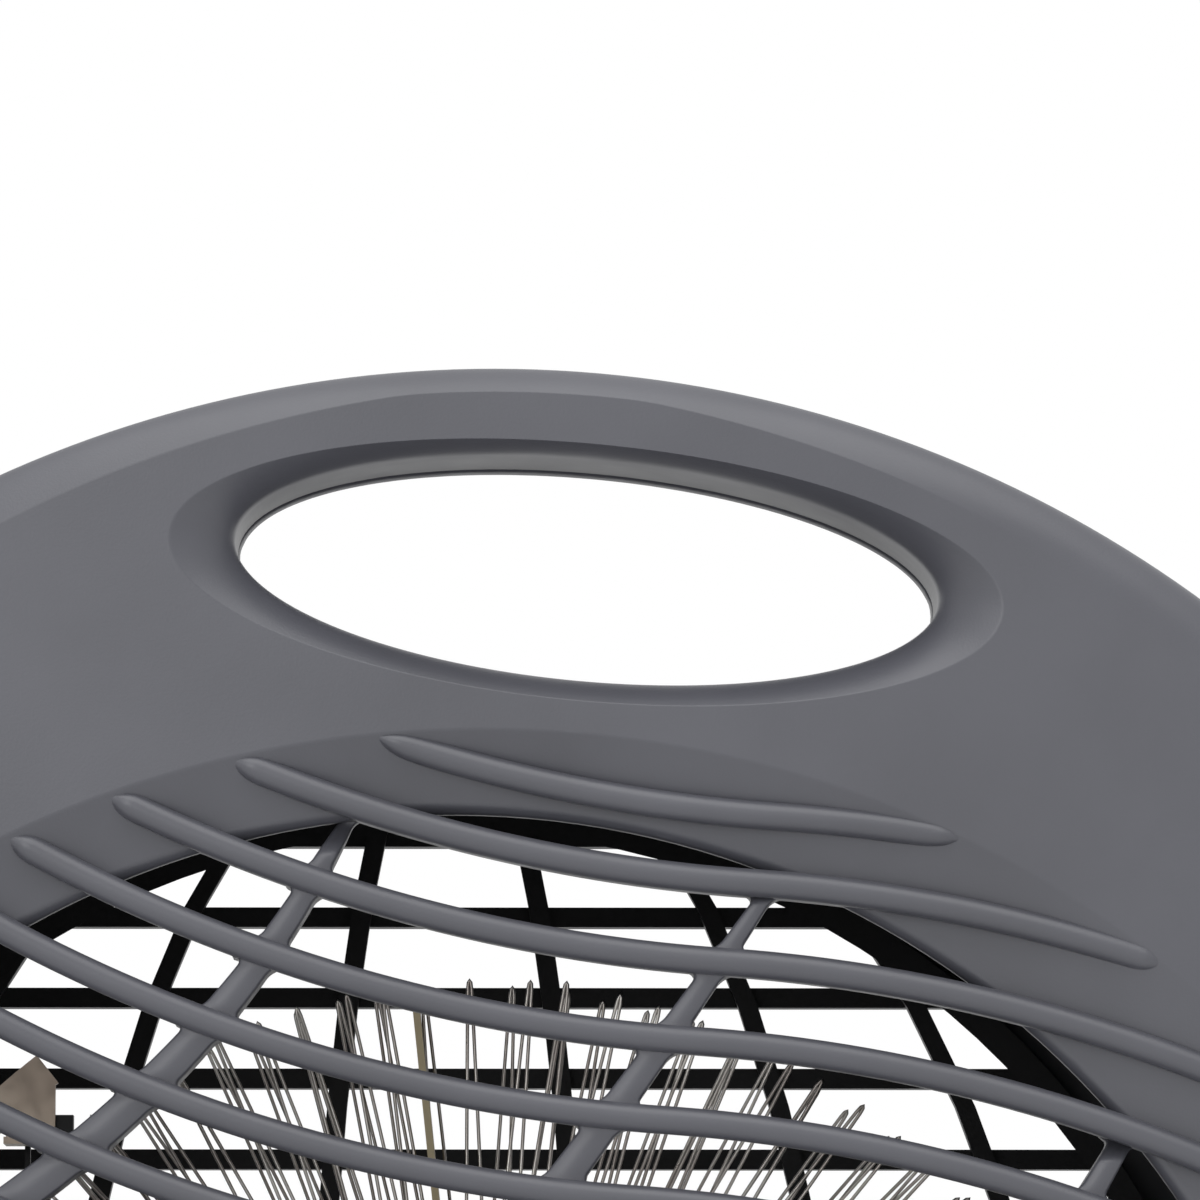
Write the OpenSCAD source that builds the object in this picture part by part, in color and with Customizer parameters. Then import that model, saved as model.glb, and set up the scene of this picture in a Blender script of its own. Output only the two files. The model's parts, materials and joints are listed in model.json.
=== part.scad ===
// Portable fan heater with a round body: two plastic shells that form a carrying slot, a swirled
// front grille, a sunburst heating element, a shaded-pole fan motor and a standing base.
// Millimetres. +Z is up, the front faces -Y, and the origin is on the floor under the body's middle.

/* [Body] */
// Radius of the round body
body_r = 166; // [164:0.5:168]
// Height of the body's middle over the floor
body_z = 178; // [178:1:182]
// How thick the plastic walls are
wall = 3; // [2.4:0.2:3.4]
// Rounding of the front edge
rim_round = 6; // [4:0.5:7]
// Radius of the drum behind the round body
drum_r = 134; // [133.5:0.5:135]

/* [Carrying slot] */
// Half of the slot's width
slot_half_w = 49.4; // [44:0.2:52]
// Half of the slot's height
slot_half_h = 15.6; // [13:0.2:16]
// Distance from the body's middle to the slot's middle
slot_r = 138.4; // [137.4:0.1:139]
// How far the slot leans clockwise round the body
slot_lean = 5.3; // [0:0.1:8]
// How much further out the flared mouth reaches at the slot's ends
flare_w = 8.7; // [7:0.1:10]
// How much further out the flared mouth reaches over and under the slot
flare_h = 3; // [2:0.1:4]

/* [Front grille] */
// Radius of the air opening
opening_r = 120.5; // [117:0.5:122]
// Middle of the air opening, to the right of the body's middle
opening_x = -5.5; // [-6.5:0.5:-4.5]
// Middle of the air opening and of its basin, over the body's middle
opening_z = -17.2; // [-18:0.2:-16.6]
// Middle of the sunken basin round the opening, to the right of the body's middle
basin_x = -1.5; // [-2.5:0.5:-0.5]
// Half of the basin's width
basin_half_w = 143.5; // [141:0.5:145]
// Half of the basin's height
basin_half_h = 132; // [130:0.5:133]
// How deep the basin is
basin_depth = 5; // [4:0.5:7]
// Height of the first bar's bend over the opening's middle
bar_top = 110.75; // [109:0.25:112]
// Distance from bar to bar
bar_pitch = 10.95; // [10.5:0.05:11.5]
// Number of bars
bar_count = 19; // [17:1:19]
// Thickness of a bar
bar_t = 3.8; // [3:0.2:4.4]
// Depth of a bar
bar_depth = 9; // [7:0.5:10]
// Radius of the two arcs that make a bar
bar_bend_r = 226; // [220:1:260]
// Slope of a bar where its arcs meet
bar_slope = 3.9; // [2:0.1:6]
// Sideways drift of that place with the bar's height
bar_drift = 0.372; // [0.3:0.01:0.45]

/* [Rear grille] */
// Radius of the rear opening at its lip
rear_open_r = 115.7; // [114:0.1:116]
// Middle of the rear opening, to the right of the body's middle
rear_open_x = -7; // [-7.5:0.5:-5]
// Middle of the rear opening, over the body's middle
rear_open_z = -6; // [-7:0.5:-4]
// Distance between the straight rear bars
rear_pitch = 12.25; // [11:0.05:13]
// Angle between the upright rear ribs, which lie like meridians on a ball
rear_rib_turn = 17.2; // [16:0.2:18]

/* [Fan and element] */
// Axis of the fan and the element, to the right of the body's middle
axis_x = -2; // [-2.5:0.5:-1]
// Axis of the fan and the element, over the body's middle
axis_z = -9; // [-9.5:0.5:-8]
// Radius of the fan
fan_r = 76; // [70:1:78]
// Pitch angle of the blades
blade_pitch = 22; // [16:1:24]
// Inner radius of the ring of heating wire
wire_in_r = 44; // [40:1:48]
// Outer radius of the ring of heating wire
wire_out_r = 92; // [88:1:93]
// Hairpins in one layer of heating wire
hairpins = 88; // [60:2:92]

/* [Controls] */
// Radius of the two knobs
knob_r = 17; // [14:0.5:17.5]
// How far a knob sits from the middle
knob_x = 44; // [40:1:46]
// How far the knobs sit under the body's middle
knob_drop = 131; // [130:0.5:132]
// Height of the control panel's upper edge over the opening's middle
panel_top = -89; // [-90:1:-86]

/* [Hidden] */
$fn = 96;
fit = 0.3;
flare = [flare_w, flare_h];
opening_at = [opening_x, opening_z];
basin_at = [basin_x, opening_z];
basin_half = [basin_half_w, basin_half_h];
axis_at = [axis_x, axis_z];
rear_open_at = [rear_open_x, rear_open_z];
wire_ring = [wire_in_r, wire_out_r];
knob_at = [knob_x, -knob_drop];

front_y = -78;
face_y = -62;
parting_y = -38;
handle_back_y = -14;
drum_back_y = 58;
rear_y = 78;
rear_round = 14;
scoop_cut = 2;
slot_back_grow = [1.6, 1.6];
slot_back_raise = 1;
head_seat = 5;

bar_y = face_y - 0.6;
panel_sink = 0.5;
rib_y = face_y + 2;
rib_depth = 7.5;
rib_w = [2, 12.5];
arm_angles = [62, 180, 298];
board_angles = [-6, 62, 120, 180, 240, 298];
cutout_angle = -41;

element_front_y = -34;
element_back_y = -12;
fan_mid_y = 11;
bracket_y = 25;
bracket_t = 2;
core_y = 33.5;
core_t = 14;
post_r = 98;
post_wide_r = 3.5;
arm_end_r = 112;

vent_edge_r = rear_open_r + 4.4;

// Tabs inside the drum that the rear grille is screwed to
tab_angles = [72, 144, 216, 288];
tab_r = 112.5;
grille_y = 40;

base_w = 236;
base_d = 132;
base_top_z = 40;
plate_z = [4, 7];
rear_box = [120, 72, 48];
switch_at = [0, 34];
wire_hole_at = [20, 20];

// ---------- shared geometry ----------

// Points of an arc in the plane, from one angle to another
function arc(c, r, from, to, steps = 8) =
    [for (k = [0:steps]) let (a = from + (to - from) * k / steps) c + r * [cos(a), sin(a)]];

// Points of an ellipse
function ellipse(half, steps = 72) =
    [for (k = [0:steps - 1]) [half.x * cos(360 * k / steps), half.y * sin(360 * k / steps)]];

function unit(v) = v / norm(v);

// Direction of a path at one of its points
function path_dir(p, i) = unit(p[min(i + 1, len(p) - 1)] - p[max(i - 1, 0)]);

// Corners of one ring round a path
function ring_at(c, dir, up, r, sides) =
    let (a = unit(cross(dir, up)), b = cross(a, dir))
    [for (k = [0:sides - 1]) c + r * (cos(360 * k / sides) * a + sin(360 * k / sides) * b)];

// A closed tube that follows a path; up is any direction that the path never runs along
module swept_tube(path, r, sides, up) {
    n = len(path);
    points = [for (i = [0:n - 1]) each ring_at(path[i], path_dir(path, i), up, r, sides)];
    first = [for (k = [sides - 1:-1:0]) k];
    last = [for (k = [0:sides - 1]) (n - 1) * sides + k];
    sides_faces = [for (i = [0:n - 2], k = [0:sides - 1], half = [0, 1])
        let (a = i * sides + k, b = i * sides + (k + 1) % sides)
        half == 0 ? [a, b, b + sides] : [a, b + sides, a + sides]];
    polyhedron(points = points, faces = concat([first, last], sides_faces));
}

// A flat outline in the front view, made solid from y0 back to y1
module along_y(y0, y1) {
    translate([0, y1, 0]) rotate([90, 0, 0]) linear_extrude(y1 - y0) children();
}

module at_body() { translate([0, 0, body_z]) children(); }
module at_opening() { translate([opening_at.x, 0, body_z + opening_at.y]) children(); }
module at_axis() { translate([axis_at.x, 0, body_z + axis_at.y]) children(); }
module at_vent() { translate([rear_open_at.x, 0, body_z + rear_open_at.y]) children(); }

// At a radius from the fan's axis, at an angle clockwise from the top
module at_polar(r, angle) { at_axis() rotate([0, angle, 0]) translate([0, 0, r]) children(); }

// The same, round the middle of the rear opening
module at_vent_polar(r, angle) { at_vent() rotate([0, angle, 0]) translate([0, 0, r]) children(); }

module rod_y(r, y0, y1) { translate([0, y1, 0]) rotate([90, 0, 0]) cylinder(r = r, h = y1 - y0); }

// ---------- the two shells ----------

module front_form(inset) {
    edge = rim_round - inset * 0.5;
    r = body_r - inset;
    outline = concat([[0, face_y + inset]],
        arc([r - edge, face_y + inset + edge], edge, -90, 0),
        [[r, parting_y + (inset > 0 ? 1 : 0)], [0, parting_y + (inset > 0 ? 1 : 0)]]);
    at_body() rotate([-90, 0, 0]) rotate_extrude($fn = 144) polygon(outline);
}

// Profile of the back: a rounded rim that runs in a hollow curve into the drum
function rear_outline(inset, front) =
    let (rim_x = body_r - rear_round, sweep = rim_x - drum_r)
    concat([[0, front], [body_r - inset, front]],
        arc([rim_x, handle_back_y - rear_round], rear_round - inset, 0, 90),
        arc([rim_x, handle_back_y + sweep], sweep + inset, -90, -180),
        [[drum_r - inset, drum_back_y - inset], [0, drum_back_y - inset]]);

module rear_form(inset) {
    front = parting_y - (inset > 0 ? 1 : 0);
    difference() {
        at_body() rotate([-90, 0, 0]) rotate_extrude($fn = 144) polygon(rear_outline(inset, front));
        hand_scoop(inset);
    }
}

module at_slot() { at_body() rotate([0, slot_lean, 0]) translate([0, 0, slot_r]) children(); }

// Room for the fingers behind the handle
module hand_scoop(grow) {
    at_slot() translate([0, 0, 18]) along_y(handle_back_y - scoop_cut - grow, drum_back_y + 1)
        polygon(ellipse([70 + grow, 36 + grow]));
}

module slot_outline(grow) { polygon(ellipse([slot_half_w + grow, slot_half_h + grow])); }

module slot_cut() {
    at_slot() along_y(face_y - 1, drum_back_y + 1) slot_outline(0);
}

// The slot widens behind the parting, so that the handle is rounded to the hand
module slot_widening(grow) {
    at_slot() hull() {
        along_y(parting_y + 2, parting_y + 2.1) slot_outline(grow - 0.4);
        translate([0, 0, slot_back_raise])
            along_y(handle_back_y - scoop_cut, handle_back_y - scoop_cut + 0.2)
                polygon(ellipse([slot_half_w, slot_half_h] + slot_back_grow + [grow, grow], 48));
    }
}

module slot_flare() {
    at_slot() hull() {
        along_y(face_y - 0.2, face_y - 0.1)
            polygon(ellipse([slot_half_w + flare.x, slot_half_h + flare.y], 48));
        along_y(face_y + 10, face_y + 10.1)
            polygon(ellipse([slot_half_w - 0.6, slot_half_h - 0.6], 48));
    }
}

// ---------- the swirl of the front grille ----------

function bend_z(i) = bar_top - bar_pitch * i;
function bend_x(i) = bar_drift * bend_z(i);

// Height of bar i at x: two equal arcs, one bending up and one down, that meet with one slope
function bar_z(i, x) =
    let (s = x < bend_x(i) ? 1 : -1,
         run = x - bend_x(i) - s * bar_bend_r * sin(bar_slope))
    bend_z(i) + s * bar_bend_r * cos(bar_slope) - s * sqrt(bar_bend_r ^ 2 - run ^ 2);

module bar_outline(i) {
    reach = basin_half.x + 4;
    xs = [for (k = [0:28]) -reach + 2 * reach * k / 28];
    polygon(concat([for (x = xs) [x, bar_z(i, x) + bar_t / 2]],
        [for (k = [28:-1:0]) [xs[k], bar_z(i, xs[k]) - bar_t / 2]]));
}

module basin_outline(grow) {
    translate(basin_at - opening_at) polygon(ellipse([basin_half.x + grow, basin_half.y + grow]));
}

// Everything in the opening over the control panel's arched edge
module over_panel() {
    difference() {
        children();
        translate([0, panel_top - 400]) circle(r = 400, $fn = 240);
    }
}

module bars() {
    at_opening() for (i = [0:bar_count - 1])
        along_y(bar_y, bar_y + bar_depth) over_panel() intersection() {
            bar_outline(i);
            basin_outline(-0.5);
        }
    at_opening() along_y(bar_y, bar_y + 4) intersection() {
        translate([0, -1.8]) bar_outline(-1);
        basin_outline(0);
    }
}

// A flat rib behind the bars: it sweeps down to the left, and widens from one end to the other
module cross_rib(top, middle, bottom) {
    steps = 14;
    line = [for (k = [0:steps]) let (t = k / steps)
        (1 - t) ^ 2 * top + 2 * t * (1 - t) * middle + t ^ 2 * bottom];
    half = [for (k = [0:steps]) [(rib_w[0] + (rib_w[1] - rib_w[0]) * (k / steps) ^ 0.8) / 2, 0]];
    polygon(concat(line + half, [for (k = [steps:-1:0]) line[k] - half[k]]));
}

module cross_ribs() {
    at_opening() along_y(rib_y, rib_y + rib_depth) over_panel() intersection() {
        circle(r = opening_r + 2);
        union() {
            cross_rib([-14.5, 121], [-42, 64], [-122, 36]);
            cross_rib([45, 112], [0, 45], [-102, -76]);
            cross_rib([98, 85], [62, 22], [-30, -118]);
        }
    }
}

// The sunken ring that carries the bars, still to be cut to its sloping front
module basin_ring() {
    at_opening() along_y(face_y + 1, face_y + basin_depth + wall) difference() {
        basin_outline(wall);
        circle(r = opening_r);
    }
}

module basin_cut() {
    at_opening() hull() {
        along_y(face_y - 0.2, face_y - 0.1) basin_outline(0);
        along_y(face_y + basin_depth, face_y + basin_depth + 0.1) circle(r = opening_r + 1.5);
    }
    at_opening() along_y(face_y, parting_y) circle(r = opening_r);
}

// The plate that closes the bottom of the opening and carries the controls
module control_panel() {
    at_opening() along_y(face_y + panel_sink, face_y + basin_depth + wall - 0.5) intersection() {
        basin_outline(0.5);
        difference() {
            translate([0, panel_top - 400]) circle(r = 400, $fn = 240);
            translate([0, panel_top - 400 - 2 * wall]) circle(r = 400, $fn = 240);
        }
    }
    at_opening() along_y(face_y + panel_sink, face_y + panel_sink + wall) intersection() {
        basin_outline(0.7);
        translate([0, panel_top - 400]) circle(r = 400, $fn = 240);
    }
}

// Room behind the control panel for the thermostat, the switch and the pilot lamp
module control_pockets() {
    at_controls() rod_y(18.5, face_y + panel_sink + wall, parting_y);
    translate([0, 0, body_z + knob_at.y]) rod_y(8, face_y + panel_sink + wall, parting_y);
}

module at_controls() {
    for (side = [-1, 1]) translate([side * knob_at.x, 0, body_z + knob_at.y]) children();
}

shell_screw_angles = [-146, -118, -88, -58, 58, 88, 118, 146];
shell_screw_r = 150;

module at_shell_screws() {
    for (a = shell_screw_angles) at_body() rotate([0, a, 0]) translate([0, 0, shell_screw_r])
        children();
}

base_screw_xy = [for (x = [-30, 30], y = [-46, -25]) [x, y]];

module at_base_screws(front) {
    for (p = base_screw_xy) if ((p.y < parting_y) == front) translate([p.x, p.y, 14]) children();
}

module front_shell() {
    color("#5d5e63") difference() {
        union() {
            difference() {
                union() {
                    difference() {
                        front_form(0);
                        front_form(wall);
                    }
                    intersection() {
                        front_form(0);
                        union() {
                            at_slot() along_y(face_y, parting_y) slot_outline(wall);
                            basin_ring();
                            at_shell_screws() rod_y(4.2, face_y + 1, parting_y);
                            at_base_screws(true) translate([-4.5, -4.5, 0]) cube([9, 9, 20]);
                        }
                    }
                }
                basin_cut();
                control_pockets();
            }
            control_panel();
            bars();
            cross_ribs();
        }
        slot_cut();
        slot_flare();
        at_shell_screws() rod_y(1.4, parting_y - 16, parting_y + 1);
        at_base_screws(true) translate([0, 0, -8]) cylinder(r = 1.4, h = 24);
        at_controls() rod_y(5.1, face_y - 1, face_y + wall + 1);
        translate([0, 0, body_z + knob_at.y]) rod_y(4.1, face_y - 1, face_y + wall + 1);
    }
}

// Blocks inside the drum that the motor bracket and the rear grille are screwed to
module drum_blocks() {
    for (a = arm_angles) at_polar(107, a) translate([-5, bracket_y + bracket_t, 0])
        cube([10, 11, 40]);
    for (a = tab_angles) at_vent_polar(tab_r - 5, a) translate([-5, grille_y - 7, 0])
        cube([10, 6.8, 40]);
}

module rear_shell() {
    color("#57585d") difference() {
        union() {
            difference() {
                rear_form(0);
                rear_form(wall);
            }
            intersection() {
                rear_form(0);
                union() {
                    at_slot() along_y(parting_y, parting_y + 3) slot_outline(wall - 0.5);
                    slot_widening(wall);
                    at_shell_screws() rod_y(5.6, parting_y, handle_back_y - 1);
                    at_base_screws(false) translate([-4.5, -4.5, 0]) cube([9, 9, 20]);
                    drum_blocks();
                }
            }
        }
        slot_cut();
        slot_widening(0);
        at_vent() rod_y(vent_edge_r + 0.2, grille_y - 0.1, drum_back_y + 1);
        at_shell_screws() rod_y(1.9, parting_y - 1, handle_back_y + 1);
        at_shell_screws() rod_y(3.8, handle_back_y - head_seat, drum_back_y);
        at_base_screws(false) translate([0, 0, -8]) cylinder(r = 1.4, h = 24);
        for (a = arm_angles) at_polar(arm_end_r, a) rod_y(1.4, bracket_y, bracket_y + 14);
        for (a = tab_angles) at_vent_polar(tab_r, a) rod_y(1.4, grille_y - 8, grille_y + 1);
        wire_hole();
    }
}

// Black grille that plugs into the drum: straight bars behind ribs that curve like meridians
module rear_grille() {
    edge = vent_edge_r;
    color("#1c1c1e") union() {
        at_vent() difference() {
            rod_y(edge, grille_y, 61);
            translate([0, 62, 0]) rotate([90, 0, 0])
                cylinder(r1 = rear_open_r + 2.2, r2 = rear_open_r - 0.1, h = 23);
        }
        at_vent() along_y(57, 61) intersection() {
            circle(r = edge - 1);
            union() for (k = [-9:9])
                translate([-edge, rear_pitch * k - rear_open_at.y - 1.5]) square([2 * edge, 3]);
        }
        at_vent() along_y(54, 57.5) intersection() {
            circle(r = edge - 1);
            union() for (k = [-3:2]) meridian(135.5 * sin((k + 0.5) * rear_rib_turn));
        }
        at_axis() rod_y(24, 57, 61);
        for (a = tab_angles) at_vent_polar(tab_r, a) difference() {
            translate([-4.6, grille_y, -4.4]) cube([9.2, 5, 10.2]);
            rod_y(1.9, grille_y - 1, grille_y + 6);
        }
    }
}

module meridian(x) {
    steps = 16;
    zs = [for (k = [0:steps]) vent_edge_r * (2 * k / steps - 1)];
    polygon(concat([for (z = zs) [x * sqrt(1 - (z / 140) ^ 2) + 1.5, z]],
        [for (k = [steps:-1:0]) [x * sqrt(1 - (zs[k] / 140) ^ 2) - 1.5, zs[k]]]));
}

// ---------- the base ----------

module rounded_plate(w, d, r, h) {
    linear_extrude(h) union() {
        square([w - 2 * r, d], center = true);
        square([w, d - 2 * r], center = true);
        for (x = [-1, 1], y = [-1, 1]) translate([x * (w / 2 - r), y * (d / 2 - r)]) circle(r = r);
    }
}

// The body's outside, grown by a gap, as the base has to clear it
module body_envelope(grow) {
    at_body() rotate([-90, 0, 0]) rotate_extrude($fn = 144)
        polygon(rear_outline(-grow, face_y - grow));
}

// The wires pass from the drum down into the base
module wire_hole() { translate([wire_hole_at.x, wire_hole_at.y, 24]) cylinder(r = 4, h = 30); }

// Outside of the base: a low plinth, two arms that cradle the body and a box behind
module base_form(inset) {
    low = plate_z[1] - (inset > 0 ? 1 : 0);
    half = base_w / 2 - inset;
    difference() {
        union() {
            translate([0, 0, low]) rounded_plate(base_w - 2 * inset, base_d - 2 * inset, 16, 8 - inset);
            along_y(face_y + 8 + inset, handle_back_y + 4 - inset)
                polygon([[-half, low], [half, low], [half - 12, base_top_z - inset],
                    [-half + 12, base_top_z - inset]]);
            translate([-rear_box.x / 2 + inset, -6 + inset, low])
                cube([rear_box.x - 2 * inset, rear_box.y - 2 * inset, rear_box.z - 7 - inset]);
        }
        body_envelope(fit + inset);
    }
}

foot_xy = [for (x = [-98, 98], y = [-48, 48]) [x, y]];
plate_screw_xy = [[-104, 8], [104, 8], [-56, -58], [56, -58]];

module base_stand() {
    color("#57585d") difference() {
        union() {
            difference() {
                base_form(0);
                base_form(wall);
            }
            for (p = plate_screw_xy) translate([p.x, p.y, plate_z[1]]) cylinder(r = 4, h = 6);
        }
        for (p = base_screw_xy) translate([p.x, p.y, plate_z[1] - 1]) cylinder(r = 1.9, h = 12);
        for (p = plate_screw_xy) translate([p.x, p.y, plate_z[1] - 1]) cylinder(r = 1.4, h = 5.5);
        translate([0, 0, 18]) rod_y(6.2, base_d / 2 - 8, base_d / 2 + 1);
        wire_hole();
    }
}

module base_plate() {
    color("#2b2b2d") difference() {
        translate([0, 0, plate_z[0]]) rounded_plate(base_w - 1, base_d - 1, 15.5, 3);
        for (p = foot_xy) translate([p.x, p.y, 0]) cylinder(r = 3.5, h = 9);
        for (p = plate_screw_xy) translate([p.x, p.y, 0]) cylinder(r = 1.9, h = 9);
        for (p = plate_screw_xy) translate([p.x, p.y, 0]) cylinder(r = 4, h = plate_z[0] + 1.5);
        translate([switch_at.x, switch_at.y, 0]) cylinder(r = 3.2, h = 9);
    }
}

module rubber_feet() {
    color("#1a1a1a") for (p = foot_xy) translate([p.x, p.y, 0]) {
        rotate_extrude() polygon([[0, 0], [8, 0], [9, 1], [9, plate_z[0]], [0, plate_z[0]]]);
        cylinder(r = 3.5, h = plate_z[1]);
        translate([0, 0, plate_z[1]]) cylinder(r1 = 4.6, r2 = 3, h = 2);
    }
}

// Microswitch over the plunger, which cuts the heater off when it is lifted or tips
module tip_switch() {
    color("#2a3a6b") translate([switch_at.x, switch_at.y, 0]) {
        translate([-10, -4, 21]) cube([20, 8, 12]);
        for (x = [-7, 7]) translate([x - 2, -4, plate_z[1]]) cube([4, 8, 14]);
    }
}

module tip_plunger() {
    color("#e8e6df") translate([switch_at.x, switch_at.y, 0]) {
        rotate_extrude() polygon([[0, 0], [2.2, 0], [3, 1], [3, 11.5], [4.2, 11.5], [4.2, 13],
            [2, 13], [2, 20.6], [0, 20.6]]);
    }
}

// The spring's turns, from the plunger's collar up to the switch
module plunger_spring() {
    turns = 5;
    low = 13.4;
    high = 20.5;
    path = [for (k = [0:turns * 10]) let (a = 36 * k)
        [switch_at.x + 3.2 * cos(a), switch_at.y + 3.2 * sin(a), low + (high - low) * k / (turns * 10)]];
    color("silver") swept_tube(path, 0.35, 6, [0, 0, 1]);
}

// ---------- the motor and the fan ----------

module motor_bracket() {
    color("#b9bbbd") at_axis() along_y(bracket_y, bracket_y + bracket_t) difference() {
        union() {
            circle(r = 36);
            for (a = arm_angles) rotate(-a) translate([-7, 20]) square([14, arm_end_r - 13]);
        }
        circle(r = 9);
        for (a = arm_angles, r = [post_r, arm_end_r]) rotate(-a) translate([0, r]) circle(r = 1.9);
        for (s = [-1, 1]) translate([s * 25, 0]) circle(r = 1.9);
    }
}

// Laminated frame: the rotor turns in its bore and the bobbin sits on its lower limb
module motor_core() {
    color("#8d8f92") at_axis() difference() {
        along_y(core_y, core_y + core_t) difference() {
            translate([-32, -44]) square([64, 66]);
            translate([-22, -33]) square([44, 14]);
            circle(r = 13.5);
        }
        for (s = [-1, 1]) translate([s * 25, 0, 0]) rod_y(1.9, core_y - 1, core_y + core_t + 1);
    }
}

module coil_bobbin() {
    color("#f0efe8") at_axis() for (s = [-1, 1])
        translate([s * 20 - 1, 0, 0]) difference() {
            translate([0, core_y - 6, -52]) cube([2, core_t + 12, 32.5]);
            translate([-1, core_y - 0.1, -44.1]) cube([4, core_t + 0.2, 11.2]);
        }
}

module motor_coil() {
    color("#b06a34") at_axis() difference() {
        translate([-19, core_y - 5, -50.5]) cube([38, core_t + 10, 30]);
        translate([-20, core_y - 0.2, -44.2]) cube([40, core_t + 0.4, 11.4]);
    }
}

// A pressed bridge that holds one bearing over the rotor
module bearing_bridge(y0, y1) {
    color("#c9cbcd") difference() {
        union() {
            at_axis() translate([-30, y0, -6]) cube([60, y1 - y0, 12]);
            at_axis() rod_y(10, y0, y1);
        }
        at_axis() rod_y(5, y0 - 1, y1 + 1);
        for (s = [-1, 1]) at_axis() translate([s * 25, 0, 0]) rod_y(1.9, y0 - 1, y1 + 1);
    }
}

module front_bearing_bridge() { bearing_bridge(bracket_y + bracket_t, core_y); }
module rear_bearing_bridge() { bearing_bridge(core_y + core_t, core_y + core_t + 4); }

shaft_r = 2.5;

module motor_bearings() {
    color("#a58a4a") for (y = [bracket_y + bracket_t, core_y + core_t - 0.5]) at_axis() difference() {
        rod_y(5, y, y + 4.5);
        rod_y(shaft_r + 0.03, y - 1, y + 6);
    }
}

module motor_rotor() {
    color("#9a9c9f") at_axis() difference() {
        rod_y(13, core_y + 0.5, core_y + core_t - 1.5);
        rod_y(shaft_r, core_y - 1, core_y + core_t + 1);
    }
}

module motor_shaft() {
    color("#d0d2d4") at_axis() rod_y(shaft_r, -7, core_y + core_t + 7);
}

// Three pitched blades on a hub
module fan_impeller() {
    color("#2a292d") difference() {
        union() {
            at_axis() rod_y(16, 1, 21);
            intersection() {
                at_axis() rod_y(fan_r, 0, 23);
                union() for (a = [-62, 58, 178]) at_polar(0, a) translate([0, fan_mid_y, 0])
                    rotate([0, 0, blade_pitch]) along_y(-0.9, 0.9) blade_outline();
            }
        }
        at_axis() rod_y(shaft_r, 0, 22);
    }
}

module blade_outline() {
    polygon(concat([[10, 8]], arc([-2, fan_r - 18], 29, 12, 118, 14),
        [[-24, fan_r - 30], [-10, 8]]));
}

module fan_hub_nut() {
    color("#303033") at_axis() difference() {
        rod_y(7, -5, 1);
        rod_y(shaft_r, -6, 2);
    }
}

// ---------- the heating element ----------

module element_hub() {
    color("#cdbf9c") at_axis() difference() {
        rod_y(20, element_front_y, element_back_y);
        rod_y(14, element_front_y - 1, element_back_y + 1);
    }
}

// Thin mica boards that stand edge-on to the air, like spokes; every second one reaches a post
module element_boards() {
    color("#cdbf9c") for (k = [0:5]) at_polar(0, board_angles[k])
        translate([-0.5, element_front_y, 20])
            cube([1, element_back_y - element_front_y, (k % 2 == 1 ? post_r - post_wide_r : 88) - 20]);
}

// One layer of heating wire: hairpins that point outward all round a ring
function hairpin_path(y, shift) =
    let (step = 360 / hairpins, inner = wire_ring[0], outer = wire_ring[1])
    [for (k = [0:hairpins - 2], leg = [0:3])
        let (r = leg == 0 || leg == 3 ? inner : outer,
             a = shift + step * (k + [0.08, 0.42, 0.58, 0.92][leg]))
        [axis_at.x + r * sin(a), y, body_z + axis_at.y + r * cos(a)]];

module heating_wire_front() {
    color("#a9a6a2") swept_tube(hairpin_path(element_front_y + 3, -2.4), 0.3, 4, [0, 1, 0]);
}

module heating_wire_rear() {
    color("#a9a6a2") swept_tube(hairpin_path(element_back_y - 3, 1.2), 0.3, 4, [0, 1, 0]);
}

module element_posts() {
    color("#d0d2d4") for (a = arm_angles) at_polar(post_r, a) difference() {
        rod_y(post_wide_r, element_front_y, bracket_y);
        rod_y(1.4, bracket_y - 10, bracket_y + 1);
    }
}

module element_post_screws() {
    color("#c4c6c8") for (a = arm_angles) at_polar(post_r, a)
        translate([0, bracket_y + bracket_t, 0]) {
            rod_y(1.4, -10, 0);
            rod_y(3, 0, 2);
        }
}

module at_cutout() {
    at_axis() translate([97 * sin(cutout_angle), 0, 97 * cos(cutout_angle)]) children();
}

// A steel strip that runs from the left post round the element to the cut-out's upright plate
module cutout_bracket() {
    color("#8a8580") union() {
        at_axis() along_y(-20, -18.8) difference() {
            union() {
                intersection() {
                    difference() {
                        circle(r = 103);
                        circle(r = 98);
                    }
                    polygon([[0, 0], 140 * [-sin(63), cos(63)], 140 * [-sin(38), cos(38)]]);
                }
                translate(post_r * [-sin(62), cos(62)]) circle(r = 6);
            }
            circle(r = 95.5);
            translate(post_r * [-sin(62), cos(62)]) circle(r = post_wide_r + 0.05);
        }
        at_cutout() translate([-4.1, -20, -5]) cube([7, 1.2, 8.6]);
        at_cutout() translate([-4.1, -26, -5]) cube([7, 6.5, 1]);
    }
}

module thermal_cutout() {
    color("#222222") at_cutout() {
        translate([-3, -18.8, -4.5]) cube([8.4, 3, 4]);
        for (x = [-1.5, 3]) translate([x, -18, -8]) cube([0.8, 1.6, 4]);
    }
}

module thermal_fuse() {
    color("#d8d4c8") at_axis() translate([15.7, -24, -97.5]) rotate([0, 90, 0]) {
        translate([0, 0, -8]) cylinder(r = 2, h = 16);
        translate([0, 0, -12.2]) cylinder(r = 0.5, h = 5);
        translate([0, 0, 7]) cylinder(r = 0.5, h = 6);
    }
}

// ---------- the controls ----------

module at_thermostat() { translate([knob_at.x, 0, body_z + knob_at.y]) children(); }
module at_selector() { translate([-knob_at.x, 0, body_z + knob_at.y]) children(); }

panel_y = face_y + panel_sink;
control_y = panel_y + wall;
knob_shaft_r = 3;

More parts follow.
